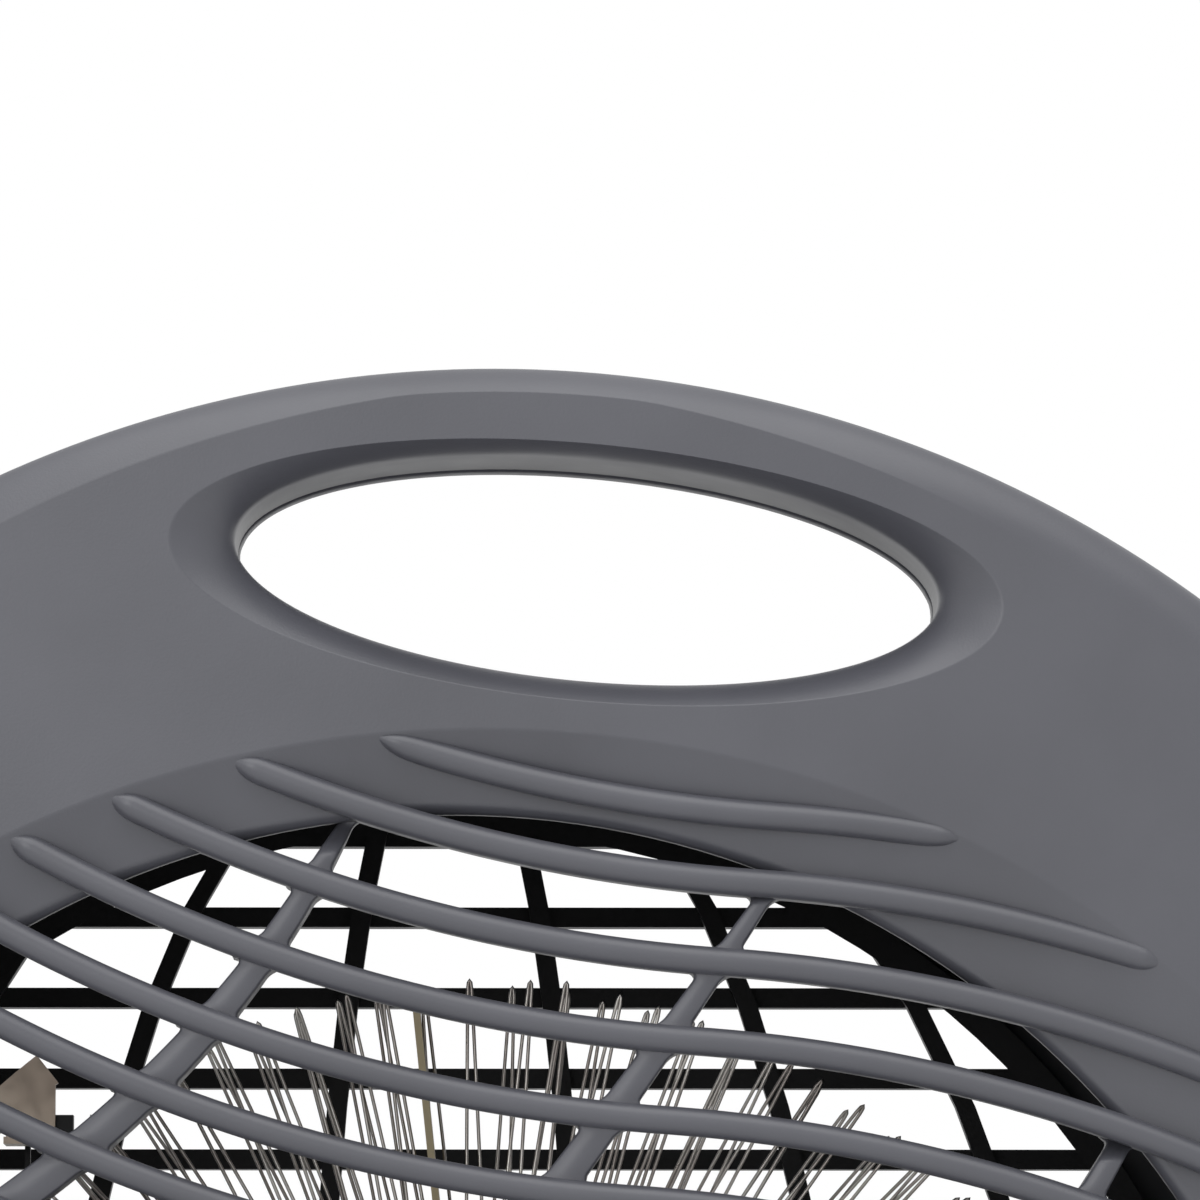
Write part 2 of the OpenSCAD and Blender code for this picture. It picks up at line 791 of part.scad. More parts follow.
module thermostat() {
    color("#c8b58a") at_thermostat() difference() {
        union() {
            rod_y(5, face_y - 3, control_y);
            translate([-15, control_y, -9]) cube([30, 12, 18]);
            translate([-13, control_y + 12, -6]) cube([26, 6, 12]);
        }
        rod_y(knob_shaft_r + 0.05, face_y - 4, control_y + 9);
    }
}

module selector_switch() {
    color("#23262b") at_selector() difference() {
        union() {
            rod_y(5, face_y - 3, control_y);
            rod_y(11, control_y, control_y + 16);
            for (k = [0:3]) rotate([0, 45 + 90 * k, 0]) translate([-2.5, control_y + 16, 5])
                cube([5, 7, 0.8]);
        }
        rod_y(knob_shaft_r + 0.05, face_y - 4, control_y + 9);
    }
}

module knob_shaft() { rod_y(knob_shaft_r, face_y - 12, control_y + 8); }
module thermostat_shaft() { color("#d8d8d4") at_thermostat() knob_shaft(); }
module selector_shaft() { color("#d8d8d4") at_selector() knob_shaft(); }

// A knob with a finger bar across its face
module knob() {
    top = front_y;
    difference() {
        union() {
            rod_y(knob_r, face_y - 8, face_y - 0.6);
            intersection() {
                rod_y(knob_r - 0.6, top, face_y - 7);
                translate([-4, top, -knob_r]) cube([8, 12, 2 * knob_r]);
            }
        }
        rod_y(knob_shaft_r, face_y - 12, face_y);
        rod_y(9.2, face_y - 4, face_y);
        translate([-0.8, top - 1, knob_r - 9]) cube([1.6, 1.8, 8]);
    }
}

module thermostat_knob() { color("#2c2c2f") at_thermostat() knob(); }
module selector_knob() { color("#2c2c2f") at_selector() knob(); }

module control_nuts() {
    color("#c9cbcd") at_controls() difference() {
        translate([0, panel_y, 0]) rotate([90, 0, 0]) cylinder(r = 8.4, h = 2.4, $fn = 6);
        rod_y(5, face_y - 4, panel_y + 1);
    }
}

module pilot_lens() {
    color("#d9531e", 0.6) translate([0, 0, body_z + knob_at.y]) difference() {
        union() {
            rod_y(5.2, panel_y - 1.6, panel_y);
            rod_y(4, panel_y, control_y + 3);
        }
        rod_y(3, panel_y, control_y + 4);
    }
}

module pilot_lamp() {
    color("#e8dccb") translate([0, 0, body_z + knob_at.y]) {
        rod_y(2.8, panel_y + 1, control_y + 10);
        rod_y(4, control_y + 10, control_y + 14);
    }
}

// ---------- the wiring ----------

block_at = [40, 30, 18];

module terminal_block() {
    color("#eeeae0") translate(block_at) difference() {
        translate([-12, -8, -11]) cube([24, 16, 16]);
        for (x = [-7, 0, 7]) translate([x, 0, 0]) cylinder(r = 1.8, h = 9);
        for (x = [-7, 0, 7]) translate([x, 0, 0]) rod_y(1.6, -9, 9);
    }
}

gland_r = 3.8;

module cord_gland() {
    color("#1f1f21") translate([0, 0, 18]) difference() {
        union() {
            rod_y(6, base_d / 2 - 6, rear_y);
            rod_y(8.5, base_d / 2, base_d / 2 + 4);
            rod_y(8, base_d / 2 - 6, base_d / 2 - 3);
        }
        rod_y(gland_r, base_d / 2 - 7, rear_y + 1);
    }
}

wire_r = 1.2;

module supply_wires() {
    path = [[-44, -35, 47], [-44, -22, 50], [-40, -8, 58], [-20, 6, 56], [0, 14, 54], [14, 19, 54],
        [20, 20, 50], [20, 20, 40], [20, 20, 30], [24, 17, 22], [31, 16, 18.5], [33, 19, 18],
        [33, 21.8, 18]];
    color("#7a3b24") swept_tube(path, wire_r, 8, [1, 1, 0]);
}

module motor_wires() {
    path = [[8, 40, 118], [10, 36, 109], [14, 30, 100], [20, 24, 86], [28, 18, 72], [36, 8, 60],
        [40, -6, 55], [44, -20, 48], [44, -40, 47]];
    color("#2d4f8a") swept_tube(path, wire_r, 8, [1, 0, 0]);
}

module element_wires() {
    path = [[-44, -35, 52], [-42, -30, 62], [-38, -26, 72], [-30, -24, 80], [-20, -22, 86],
        [-8, -20, 92]];
    color("#d8d2c0") swept_tube(path, wire_r, 8, [0, 1, 0]);
}

// ---------- the fasteners ----------

module shell_screws() {
    color("#c4c6c8") at_shell_screws() translate([0, handle_back_y - head_seat, 0]) {
        rod_y(1.4, parting_y - handle_back_y - 8, 0);
        rod_y(3.3, 0, 2.2);
    }
}

module grille_screws() {
    color("#c4c6c8") for (a = tab_angles) at_vent_polar(tab_r, a) {
        rod_y(1.4, grille_y - 6, grille_y + 5);
        rod_y(3, grille_y + 5, grille_y + 7);
    }
}

module bracket_screws() {
    color("#c4c6c8") for (a = arm_angles) at_polar(arm_end_r, a) {
        rod_y(1.4, bracket_y, bracket_y + 12);
        rod_y(3.2, bracket_y - 2, bracket_y);
    }
}

module motor_screws() {
    back = core_y + core_t + 4;
    color("#c4c6c8") for (s = [-1, 1]) at_axis() translate([s * 25, 0, 0]) {
        rod_y(1.85, bracket_y - 2, back);
        rod_y(3.4, back, back + 2.4);
        rod_y(3.4, bracket_y - 2, bracket_y);
    }
}

module base_screws() {
    color("#c4c6c8") for (p = base_screw_xy) translate([p.x, p.y, 10.6]) {
        cylinder(r = 1.4, h = 14);
        translate([0, 0, -2]) cylinder(r = 3.2, h = 2);
    }
}

module plate_screws() {
    color("#c4c6c8") for (p = plate_screw_xy) translate([p.x, p.y, plate_z[0] + 1.5]) {
        cylinder(r = 1.4, h = 6);
        translate([0, 0, -1.5]) cylinder(r = 3.2, h = 1.5);
    }
}

front_shell();
rear_shell();
rear_grille();
base_stand();
base_plate();
rubber_feet();
tip_switch();
tip_plunger();
plunger_spring();
motor_bracket();
motor_core();
coil_bobbin();
motor_coil();
front_bearing_bridge();
rear_bearing_bridge();
motor_bearings();
motor_rotor();
motor_shaft();
fan_impeller();
fan_hub_nut();
element_hub();
element_boards();
heating_wire_front();
heating_wire_rear();
element_posts();
element_post_screws();
cutout_bracket();
thermal_cutout();
thermal_fuse();
thermostat();
thermostat_shaft();
thermostat_knob();
selector_switch();
selector_shaft();
selector_knob();
control_nuts();
pilot_lens();
pilot_lamp();
terminal_block();
cord_gland();
supply_wires();
motor_wires();
element_wires();
shell_screws();
grille_screws();
bracket_screws();
motor_screws();
base_screws();
plate_screws();
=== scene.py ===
import json
import math
import random

import bmesh
import bpy
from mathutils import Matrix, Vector
from mathutils.geometry import delaunay_2d_cdt
from mathutils.kdtree import KDTree


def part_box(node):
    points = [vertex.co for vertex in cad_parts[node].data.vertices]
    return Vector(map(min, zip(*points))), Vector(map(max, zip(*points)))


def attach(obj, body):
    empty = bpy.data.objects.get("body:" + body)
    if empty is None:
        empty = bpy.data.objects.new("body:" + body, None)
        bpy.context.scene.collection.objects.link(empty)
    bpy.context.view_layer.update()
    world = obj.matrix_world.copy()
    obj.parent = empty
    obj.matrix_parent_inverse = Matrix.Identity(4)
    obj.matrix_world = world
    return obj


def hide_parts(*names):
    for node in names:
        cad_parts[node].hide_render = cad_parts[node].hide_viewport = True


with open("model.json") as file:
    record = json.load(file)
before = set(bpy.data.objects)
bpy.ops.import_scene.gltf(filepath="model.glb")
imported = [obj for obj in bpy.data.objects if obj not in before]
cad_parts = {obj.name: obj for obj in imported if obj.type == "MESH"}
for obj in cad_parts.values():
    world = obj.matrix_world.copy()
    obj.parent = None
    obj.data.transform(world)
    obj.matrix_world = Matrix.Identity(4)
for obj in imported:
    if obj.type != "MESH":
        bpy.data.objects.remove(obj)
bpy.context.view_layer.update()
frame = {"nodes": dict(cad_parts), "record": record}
SLOT_OF = {entry["node"]: entry["material_slot"] for entry in frame["record"]["subparts"]}

# The script works in millimetres from the middle of the round body and turns them into metres in
# place(). Depth is measured back from the flat of the front face.
MM = 0.001


def corners(node):
    """A node's lowest and highest corner in millimetres."""
    low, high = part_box(node)
    return [c / MM for c in low], [c / MM for c in high]


SHELL_LOW, SHELL_HIGH = corners("front_shell")
BODY_R = (SHELL_HIGH[0] - SHELL_LOW[0]) / 2
BODY_X = (SHELL_HIGH[0] + SHELL_LOW[0]) / 2
BODY_Z = (SHELL_HIGH[2] + SHELL_LOW[2]) / 2
BAR_PROUD = 0.6
FACE_Y = SHELL_LOW[1] + BAR_PROUD
SIDE_DEPTH = SHELL_HIGH[1] - FACE_Y
RIM_DEPTH = 5.5
SHELL_WALL = 2.2

# The carrying slot, an ellipse that leans round the body
SLOT_HALF = (49.4, 15.7)
SLOT_RAISE = 0.1
SLOT_R = 138.4
SLOT_LEAN = math.radians(5.3)
FLARE_HALF = (58.1, 18.0)
FLARE_RAISE = -1.1
FLARE_DEPTH = 7.0
FLARE_ABOVE = 110

# The air opening and the sunken basin round it
OPENING_R = 120.5
OPENING_AT = (-5.5, -17.2)
BASIN_AT = (-1.5, -17.2)
BASIN_HALF = (143.5, 132.0)
BASIN_DEPTH = 3.4
LIP_WIDTH = 1.3
LIP_DEPTH = 1.2
PANEL_TOP = -89.0
PANEL_R = 400.0
PANEL_SINK = 0.5

# The swirled bars: two arcs each, which bend opposite ways. The ridge above them is a shallow bar
# with long tapers
BAR_TOP = 110.75
BAR_PITCH = 10.95
BAR_COUNT = 19
BAR_T = 3.9
BAR_DEPTH = 9.0
BAR_TIP = 2.4
RIDGE_TIP = 22
RIDGE_DROP = 1.8
RIDGE_DEPTH = 3.4
BEND_R = 226.0
BEND_SLOPE = math.radians(3.9)
BEND_DRIFT = 0.372

# The fan's axis runs through the middle of the shaft's box
FAN_AXIS = [(a + b) / 2 for a, b in zip(*corners("motor_shaft"))]


def place(x, z, depth=0.0):
    """A point given from the body's middle and back from the face, in the frame's metres."""
    return ((BODY_X + x) * MM, (FACE_Y + depth) * MM, (BODY_Z + z) * MM)


def at_axis(x, y, z):
    """A point given across from the fan's axis, with y as in the frame, in metres."""
    return ((FAN_AXIS[0] + x) * MM, y * MM, (FAN_AXIS[2] + z) * MM)


def mesh_piece(name, verts, faces, material, slot, body="housing"):
    """A new smooth-shaded mesh object that rides on a body."""
    mesh = bpy.data.meshes.new(name)
    mesh.from_pydata(verts, [], faces)
    mesh.validate()
    mesh.update()
    mesh.polygons.foreach_set("use_smooth", [True] * len(mesh.polygons))
    obj = bpy.data.objects.new(name, mesh)
    bpy.context.scene.collection.objects.link(obj)
    obj.data.materials.append(material)
    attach(obj, body)
    return obj


def apply_modifiers(obj):
    """Bakes an object's modifiers into its mesh."""
    graph = bpy.context.evaluated_depsgraph_get()
    graph.update()
    mesh = bpy.data.meshes.new_from_object(obj.evaluated_get(graph))
    obj.modifiers.clear()
    obj.data = mesh


# ---------- materials ----------

def new_material(name):
    material = bpy.data.materials.new(name)
    material.use_nodes = True
    nodes = material.node_tree.nodes
    return material, nodes, material.node_tree.links, nodes["Principled BSDF"]


def noise(nodes, links, coords, scale, detail=3.0, rough=0.5):
    node = nodes.new("ShaderNodeTexNoise")
    node.inputs["Scale"].default_value = scale
    node.inputs["Detail"].default_value = detail
    node.inputs["Roughness"].default_value = rough
    links.new(coords, node.inputs["Vector"])
    return node.outputs["Fac"]


def ramp(nodes, links, value, low, high, place_low=0.35, place_high=0.65):
    """A colour ramp between two colours."""
    node = nodes.new("ShaderNodeValToRGB")
    first, last = node.color_ramp.elements
    first.position, last.position = place_low, place_high
    first.color = (*low, 1)
    last.color = (*high, 1)
    links.new(value, node.inputs["Fac"])
    return node.outputs["Color"]


def span(nodes, links, value, low, high):
    """Maps 0..1 to low..high."""
    node = nodes.new("ShaderNodeMapRange")
    node.inputs["To Min"].default_value = low
    node.inputs["To Max"].default_value = high
    links.new(value, node.inputs["Value"])
    return node.outputs["Result"]


def bump(nodes, links, height, strength, distance, shader, before=None):
    """Bends the shader's normal by a height; before is the normal of an earlier bump."""
    node = nodes.new("ShaderNodeBump")
    node.inputs["Strength"].default_value = strength
    node.inputs["Distance"].default_value = distance
    links.new(height, node.inputs["Height"])
    if before:
        links.new(before, node.inputs["Normal"])
    links.new(node.outputs["Normal"], shader.inputs["Normal"])
    return node.outputs["Normal"]


def object_coords(nodes):
    """Coordinates that stay with the object."""
    return nodes.new("ShaderNodeTexCoord").outputs["Object"]


def shade(colour, factor):
    """The colour made lighter or darker."""
    return tuple(min(1.0, c * factor) for c in colour)


def plastic(name, colour, rough=0.42, grain=0.12, coat=0.0, variation=0.08, shine=0.5):
    """Moulded plastic: faint mottling, a fine spark-eroded grain, and rubbed, shinier patches."""
    material, nodes, links, shader = new_material(name)
    coords = object_coords(nodes)
    cloud = noise(nodes, links, coords, 28.0, 4.0)
    links.new(ramp(nodes, links, cloud, shade(colour, 1 - variation), shade(colour, 1 + variation)),
        shader.inputs["Base Color"])
    wear = noise(nodes, links, coords, 75.0, 5.0, 0.6)
    links.new(span(nodes, links, wear, rough - 0.07, rough + 0.07), shader.inputs["Roughness"])
    fine = noise(nodes, links, coords, 2600.0, 2.0)
    first = bump(nodes, links, fine, grain, 0.0002, shader)
    waves = noise(nodes, links, coords, 38.0, 2.0)
    bump(nodes, links, waves, 0.05, 0.002, shader, first)
    shader.inputs["Specular IOR Level"].default_value = shine
    shader.inputs["Coat Weight"].default_value = coat
    shader.inputs["Coat Roughness"].default_value = 0.3
    return material


def metal(name, colour, rough=0.32, streak=(1.0, 12.0, 1.0), stain=None):
    """Sheet or drawn metal: brushed streaks and an optional heat stain."""
    material, nodes, links, shader = new_material(name)
    coords = object_coords(nodes)
    stretch = nodes.new("ShaderNodeVectorMath")
    stretch.operation = "MULTIPLY"
    stretch.inputs[1].default_value = streak
    links.new(coords, stretch.inputs[0])
    lines = noise(nodes, links, stretch.outputs["Vector"], 420.0, 3.0)
    patches = noise(nodes, links, coords, 45.0, 4.0)
    links.new(ramp(nodes, links, patches, stain or shade(colour, 0.86), shade(colour, 1.08)),
        shader.inputs["Base Color"])
    links.new(span(nodes, links, lines, rough - 0.1, rough + 0.14), shader.inputs["Roughness"])
    shader.inputs["Metallic"].default_value = 1.0
    bump(nodes, links, lines, 0.12, 0.0001, shader)
    return material


def banded(name, dark, light, axis, period, metallic, rough, strength):
    """Layers or turns: fine bands across one axis, such as laminations or windings."""
    material, nodes, links, shader = new_material(name)
    coords = object_coords(nodes)
    wave = nodes.new("ShaderNodeTexWave")
    wave.bands_direction = axis
    wave.inputs["Scale"].default_value = 0.314 / period
    wave.inputs["Distortion"].default_value = 0.6
    wave.inputs["Detail"].default_value = 2.0
    links.new(coords, wave.inputs["Vector"])
    links.new(ramp(nodes, links, wave.outputs["Fac"], dark, light, 0.1, 0.8),
        shader.inputs["Base Color"])
    shader.inputs["Metallic"].default_value = metallic
    patches = noise(nodes, links, coords, 90.0)
    links.new(span(nodes, links, patches, rough - 0.08, rough + 0.12), shader.inputs["Roughness"])
    bump(nodes, links, wave.outputs["Fac"], strength, 0.0003, shader)
    return material


def clear(name, colour, rough=0.12):
    """Tinted see-through plastic or glass with faint flow marks."""
    material, nodes, links, shader = new_material(name)
    coords = object_coords(nodes)
    flow = noise(nodes, links, coords, 160.0)
    links.new(ramp(nodes, links, flow, shade(colour, 0.85), colour), shader.inputs["Base Color"])
    links.new(span(nodes, links, flow, rough, rough + 0.1), shader.inputs["Roughness"])
    shader.inputs["Transmission Weight"].default_value = 0.75
    bump(nodes, links, flow, 0.05, 0.0003, shader)
    return material


BODY_COLOUR = (0.060, 0.061, 0.072)
MATERIALS = {
    "body_plastic": plastic("body_plastic", BODY_COLOUR, 0.40, 0.10),
    "black_plastic": plastic("black_plastic", (0.008, 0.008, 0.009), 0.5, 0.15, shine=0.25),
    "knob_plastic": plastic("knob_plastic", (0.02, 0.02, 0.022), 0.36, 0.2),
    "fan_plastic": plastic("fan_plastic", (0.022, 0.021, 0.024), 0.35, 0.08),
    "white_plastic": plastic("white_plastic", (0.70, 0.69, 0.64), 0.45, 0.08, variation=0.04),
    "blue_plastic": plastic("blue_plastic", (0.03, 0.06, 0.20), 0.45),
    "rubber": plastic("rubber", (0.018, 0.018, 0.018), 0.72, 0.3, variation=0.2),
    "wire_brown": plastic("wire_brown", (0.20, 0.06, 0.03), 0.4, 0.05),
    "wire_blue": plastic("wire_blue", (0.04, 0.10, 0.30), 0.4, 0.05),
    "spring_steel": metal("spring_steel", (0.62, 0.63, 0.64), 0.25),
    "zinc_steel": metal("zinc_steel", (0.56, 0.57, 0.58), 0.36),
    "heating_wire": metal("heating_wire", (0.50, 0.48, 0.45), 0.30, stain=(0.30, 0.27, 0.25)),
    "warm_steel": metal("warm_steel", (0.34, 0.29, 0.24), 0.42, stain=(0.20, 0.16, 0.13)),
    "sintered_bronze": metal("sintered_bronze", (0.45, 0.30, 0.13), 0.45),
    "lamination_steel": banded("lamination_steel", (0.10, 0.10, 0.11), (0.34, 0.34, 0.35), "Y",
        0.0007, 0.9, 0.42, 0.4),
    "winding_copper": banded("winding_copper", (0.20, 0.06, 0.02), (0.52, 0.20, 0.07), "X",
        0.0005, 0.8, 0.32, 0.7),
    "mica": banded("mica", (0.40, 0.33, 0.20), (0.56, 0.48, 0.33), "Y", 0.0011, 0.0, 0.5, 0.25),
    "wire_sleeve": banded("wire_sleeve", (0.46, 0.42, 0.33), (0.70, 0.66, 0.56), "DIAGONAL",
        0.0006, 0.0, 0.8, 0.6),
    "ceramic_white": plastic("ceramic_white", (0.76, 0.74, 0.68), 0.28, 0.05, 0.4, 0.04),
    "ceramic_cream": plastic("ceramic_cream", (0.62, 0.52, 0.34), 0.5, 0.25, variation=0.1),
    "amber_lens": clear("amber_lens", (0.85, 0.25, 0.06)),
    "lamp_glass": clear("lamp_glass", (0.95, 0.85, 0.75), 0.05),
}


def give_materials():
    """Every CAD node takes the procedural material of its slot."""
    for name, slot in SLOT_OF.items():
        node = frame["nodes"][name]
        node.data.materials.clear()
        node.data.materials.append(MATERIALS[slot])


# ---------- outlines and surfaces of the front ----------

def ellipse_points(centre, half, count, turn=0.0):
    """Points of an ellipse; turn rotates it clockwise about its own centre."""
    c, s = math.cos(turn), math.sin(turn)
    points = []
    for k in range(count):
        a = 2 * math.pi * k / count
        u, v = half[0] * math.cos(a), half[1] * math.sin(a)
        points.append((centre[0] + u * c + v * s, centre[1] - u * s + v * c))
    return points


def slot_frame(x, z):
    """A point in the slot's own leaning frame: along the slot, and across it."""
    c, s = math.cos(SLOT_LEAN), math.sin(SLOT_LEAN)
    return x * c - z * s, x * s + z * c - SLOT_R


def slot_ring(t, count=160):
    """Loop between the flare's outer edge, t = 0, and the slot's edge, t = 1."""
    half = [a + (b - a) * t for a, b in zip(FLARE_HALF, SLOT_HALF)]
    raised = SLOT_R + FLARE_RAISE * (1 - t) + SLOT_RAISE * t
    centre = (raised * math.sin(SLOT_LEAN), raised * math.cos(SLOT_LEAN))
    return ellipse_points(centre, half, count, SLOT_LEAN)


def flare_place(x, z):
    """How far into the flare a point is: under 0 outside it, 1 at the slot's edge."""
    u, v = slot_frame(x, z)
    low, high = -1.0, 1.6
    for _ in range(24):
        t = (low + high) / 2
        a = FLARE_HALF[0] + (SLOT_HALF[0] - FLARE_HALF[0]) * t
        b = FLARE_HALF[1] + (SLOT_HALF[1] - FLARE_HALF[1]) * t
        raised = FLARE_RAISE * (1 - t) + SLOT_RAISE * t
        outside = (u / a) ** 2 + ((v - raised) / b) ** 2 > 1
        low, high = (low, t) if outside else (t, high)
    return (low + high) / 2


def flare_sink(t):
    """Depth of the flare: it starts at a crisp edge, and rolls ever steeper into the slot."""
    if t <= 0:
        return 0.0
    t = min(t, 1.0)
    return FLARE_DEPTH * (0.5 * t + 0.5 * (1 - math.sqrt(1 - t ** 2.2)))


def rim_angle(x, z):
    """Degrees round the rim from the place where its rounding is narrowest."""
    return math.degrees(math.atan2(x, z)) - 1.5


def rim_width(x, z):
    """The rounded edge is narrow over the handle and widens down both sides."""
    return 4.0 + 5.0 * (1 - math.exp(-max(0.0, abs(rim_angle(x, z)) - 6) / 25))


def rim_sink(x, z, t):
    """Depth of the rounded edge: a crisp crease, which softens to a broad roll on the right."""
    soft = smooth((rim_angle(x, z) - 8) / 22)
    round_part = 1 - math.sqrt(max(0.0, 1 - t ** (2.0 + 0.4 * soft)))
    crisp = 0.55 - 0.45 * soft
    return RIM_DEPTH * (crisp * t + (1 - crisp) * round_part)


def smooth(t):
    t = min(1.0, max(0.0, t))
    return t * t * (3 - 2 * t)


def basin_place(x, z):
    """Size of the ellipse through a point, as a fraction of the basin's outline."""
    return math.hypot((x - BASIN_AT[0]) / BASIN_HALF[0], (z - BASIN_AT[1]) / BASIN_HALF[1])


def panel_edge(x):
    """Height of the control panel's arched upper edge."""
    return OPENING_AT[1] + PANEL_TOP - PANEL_R + math.sqrt(PANEL_R ** 2 - (x - OPENING_AT[0]) ** 2)


def face_depth(x, z):
    """Depth of the front surface at a point of the body."""
    r = math.hypot(x, z)
    depth = 0.0
    width = rim_width(x, z)
    t = (r - (BODY_R - width)) / width
    if t > 0:
        depth += rim_sink(x, z, min(t, 1.0))
    depth += flare_sink(flare_place(x, z)) if z > FLARE_ABOVE else 0.0
    e = basin_place(x, z)
    if e < 1:
        to_opening = math.hypot(x - OPENING_AT[0], z - OPENING_AT[1]) - OPENING_R
        to_crease = (1 - e) * (BASIN_HALF[0] + BASIN_HALF[1]) / 2
        share = to_crease / max(0.01, to_crease + max(0.0, to_opening))
        sink = BASIN_DEPTH * (1 - (1 - share) ** 1.7)
        sink += LIP_DEPTH * min(1.0, max(0.0, 1 - to_opening / LIP_WIDTH)) ** 1.5
        over = smooth((z - panel_edge(x)) / 1.6 + 0.5)
        depth += sink * over + PANEL_SINK * (1 - over)
    return depth


def opening_loop(inset, count=220):
    """The air opening's edge: a circle that the control panel's edge cuts off."""
    points = []
    for k in range(count):
        a = 2 * math.pi * k / count
        r = OPENING_R - inset
        x = OPENING_AT[0] + r * math.cos(a)
        z = OPENING_AT[1] + r * math.sin(a)
        points.append((x, max(z, panel_edge(x) + 1.4 + inset)))
    return points


def inside(loop, x, z):
    """Whether a point is inside a closed loop."""
    hit = False
    for (x0, z0), (x1, z1) in zip(loop, loop[1:] + loop[:1]):
        if (z0 > z) != (z1 > z) and x < x0 + (z - z0) * (x1 - x0) / (z1 - z0):
            hit = not hit
    return hit


def basin_loop(grow, count=260):
    half = (BASIN_HALF[0] + grow, BASIN_HALF[1] + grow)
    return ellipse_points(BASIN_AT, half, count)


def rim_loop(t, count=360):
    """Loop in the rounded edge, from its crease at t = 0 to the outline at t = 1."""
    points = []
    for k in range(count):
        a = 2 * math.pi * k / count
        width = rim_width(math.cos(a), math.sin(a))
        r = BODY_R - width * (1 - t)
        points.append((r * math.cos(a), r * math.sin(a)))
    return points


def add_loop(loop, points, edges):
    """Adds a closed loop of points with the edges between them."""
    first = len(points)
    points.extend(loop)
    count = len(loop)
    edges.extend((first + k, first + (k + 1) % count) for k in range(count))


def wall_between(loop, depths_from, depths_to, first):
    """Quads of a wall that runs straight back from a loop."""
    count = len(loop)
    verts = [place(x, z, d) for (x, z), d in zip(loop, depths_from)]
    verts += [place(x, z, d) for (x, z), d in zip(loop, depths_to)]
    faces = []
    for k in range(count):
        n = (k + 1) % count
        faces.append((first + k, first + n, first + count + n, first + count + k))
    return verts, faces


def clean_mesh(obj, weld=0.00002):
    """Drops points that no face uses, welds what touches and turns every face outward."""
    data = bmesh.new()
    data.from_mesh(obj.data)
    loose = [v for v in data.verts if not v.link_faces]
    bmesh.ops.delete(data, geom=loose, context="VERTS")
    bmesh.ops.remove_doubles(data, verts=data.verts, dist=weld)
    bmesh.ops.recalc_face_normals(data, faces=data.faces)
    data.to_mesh(obj.data)
    data.free()
    obj.data.update()


def front_panel():
    """The front shell: one smooth face with its rim, slot, basin and control panel, and its walls."""
    rim = [rim_loop(t) for t in (1.0, 0.97, 0.9, 0.78, 0.6, 0.4, 0.2, 0.03, 0.0, -0.03)]
    slot = [slot_ring(t) for t in (1.0, 0.97, 0.9, 0.8, 0.66, 0.5, 0.34, 0.2, 0.03, 0.0, -0.03)]
    basin = [basin_loop(grow) for grow in (0.3, 0.0, -0.3)]
    opening = [opening_loop(inset) for inset in (0.0, -0.3, -0.7, -1.3, -1.7)]
    points, edges = [], []
    for loop in rim + slot + basin + opening:
        add_loop(loop, points, edges)
    near = KDTree(len(points))
    for k, (x, z) in enumerate(points):
        near.insert((x, z, 0), k)
    near.balance()
    step, clear_of_loops = 2.6, 1.5
    reach = int(BODY_R / step) + 1
    for i in range(-reach, reach + 1):
        for j in range(-reach, reach + 1):
            x, z = i * step, (j + 0.5 * (i % 2)) * step
            if math.hypot(x, z) < BODY_R and near.find((x, z, 0))[2] > clear_of_loops:
                points.append((x, z))
    flat = [Vector(p) for p in points]
    verts_2d, _, triangles, _, _, _ = delaunay_2d_cdt(flat, edges, [], 0, 1e-4)
    faces = []
    for triangle in triangles:
        x = sum(verts_2d[k].x for k in triangle) / 3
        z = sum(verts_2d[k].y for k in triangle) / 3
        if math.hypot(x, z) < BODY_R and not inside(slot[0], x, z) and not inside(opening[0], x, z):
            faces.append(tuple(triangle))
    verts = [place(p.x, p.y, face_depth(p.x, p.y)) for p in verts_2d]
    back = SIDE_DEPTH - 0.15
    for loop, end in ((rim[0], back), (slot[0], back), (opening[0], BASIN_DEPTH + 3)):
        starts = [face_depth(x, z) for x, z in loop]
        more, quads = wall_between(loop, starts, [end] * len(loop), len(verts))
        verts += more
        faces += quads
    panel = mesh_piece("front_panel_skin", verts, faces, MATERIALS["body_plastic"], slot="body_plastic")
    clean_mesh(panel)
    thick = panel.modifiers.new("wall", "SOLIDIFY")
    thick.thickness = SHELL_WALL * MM
    thick.offset = -1
    apply_modifiers(panel)
    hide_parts("front_shell")


# ---------- the swirled bars and the ribs behind them ----------

def bar_height(i, x):
    """Height over the opening's middle of bar i at x: two arcs that meet with one slope."""
    bend = BAR_TOP - BAR_PITCH * i
    side = 1 if x < BEND_DRIFT * bend else -1
    run = x - BEND_DRIFT * bend - side * BEND_R * math.sin(BEND_SLOPE)
    return bend + side * BEND_R * math.cos(BEND_SLOPE) - side * math.sqrt(BEND_R ** 2 - run ** 2)


def bar_point(i, x, drop):
    """A point on bar i, lowered by drop, from the body's middle."""
    return OPENING_AT[0] + x, OPENING_AT[1] + bar_height(i, x) - drop


def bar_reach(i, drop):
    """The stretch of x over which a bar's middle line runs inside the basin."""
    xs = [k * 0.25 for k in range(-600, 601)]
    held = [x for x in xs if basin_place(*bar_point(i, x, drop)) < 1]
    return (held[0], held[-1]) if held else None


